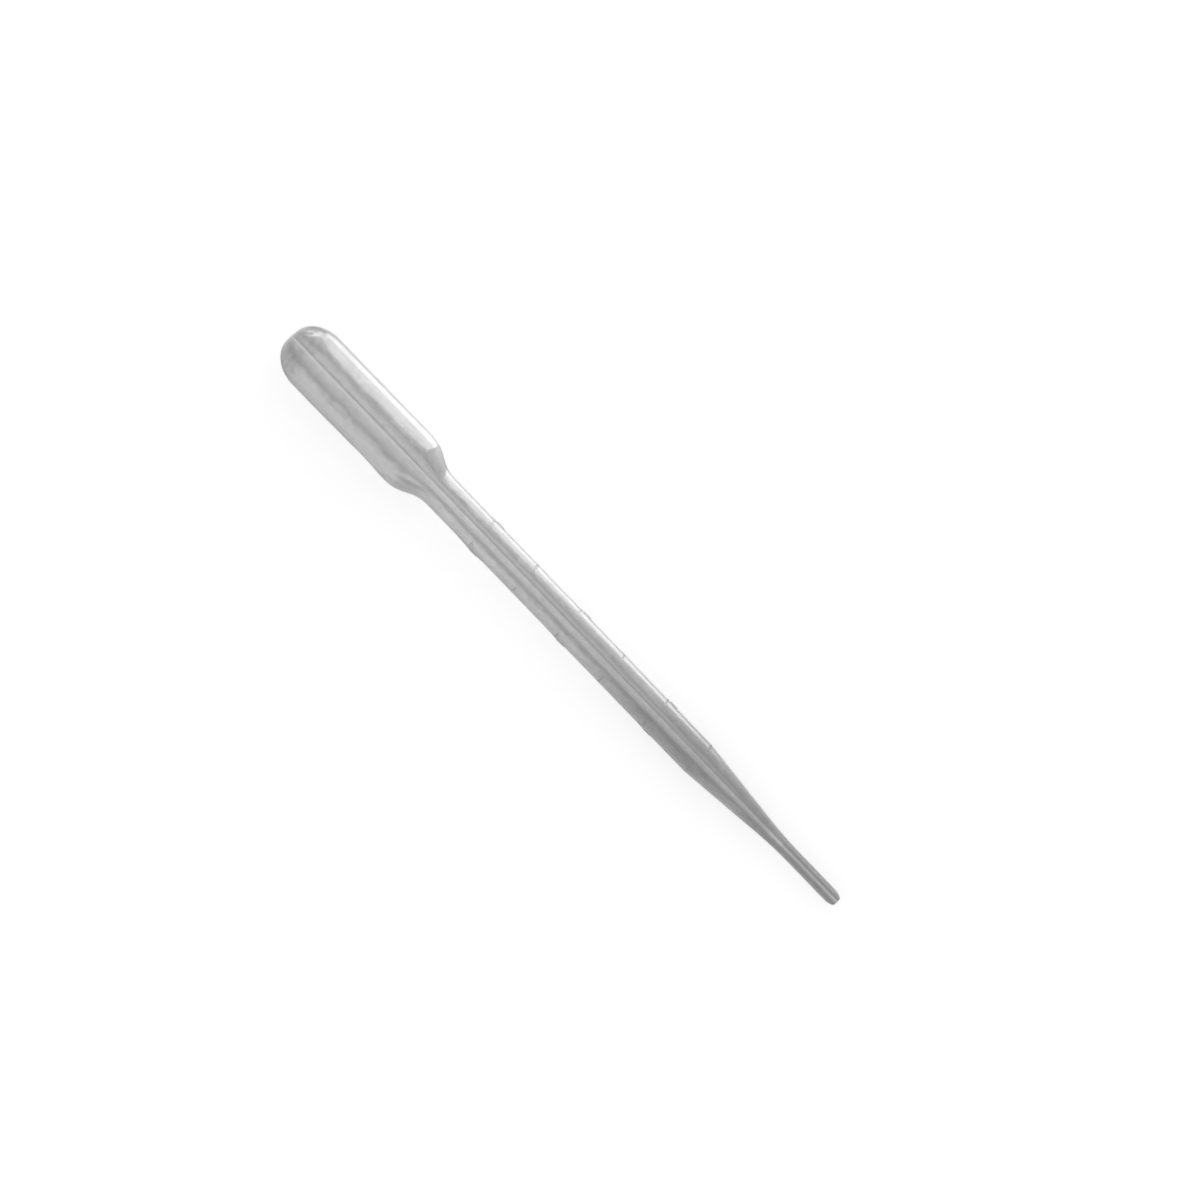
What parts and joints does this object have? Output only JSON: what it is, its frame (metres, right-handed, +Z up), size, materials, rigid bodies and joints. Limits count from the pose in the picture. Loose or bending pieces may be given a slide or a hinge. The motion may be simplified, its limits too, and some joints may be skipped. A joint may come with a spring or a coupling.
{
  "type": "plastic dropper pipette",
  "caption": "Slim translucent dropper pipette, blow moulded in one piece: a round squeeze bulb, a graduated stem and a long taper to a fine open tip.",
  "frame": {"origin": "on the surface it lies on, below the middle of its length and width", "axes": "+X along its length from the bulb to the open tip, +Z up; the pipette lies at rest on its lower parting line, touching at the bulb's shoulder and where the taper starts, so its own axis dips 1.92 degrees below +X towards the tip, and the mould parts in the XZ plane"},
  "size_m": [0.1601, 0.0134, 0.0145],
  "materials": {
    "translucent_polyethylene": "milky translucent low density polyethylene, softly glossy, as blow moulded"
  },
  "bodies": {
    "root": {"pipette": "translucent_polyethylene"}
  },
  "joints": []
}
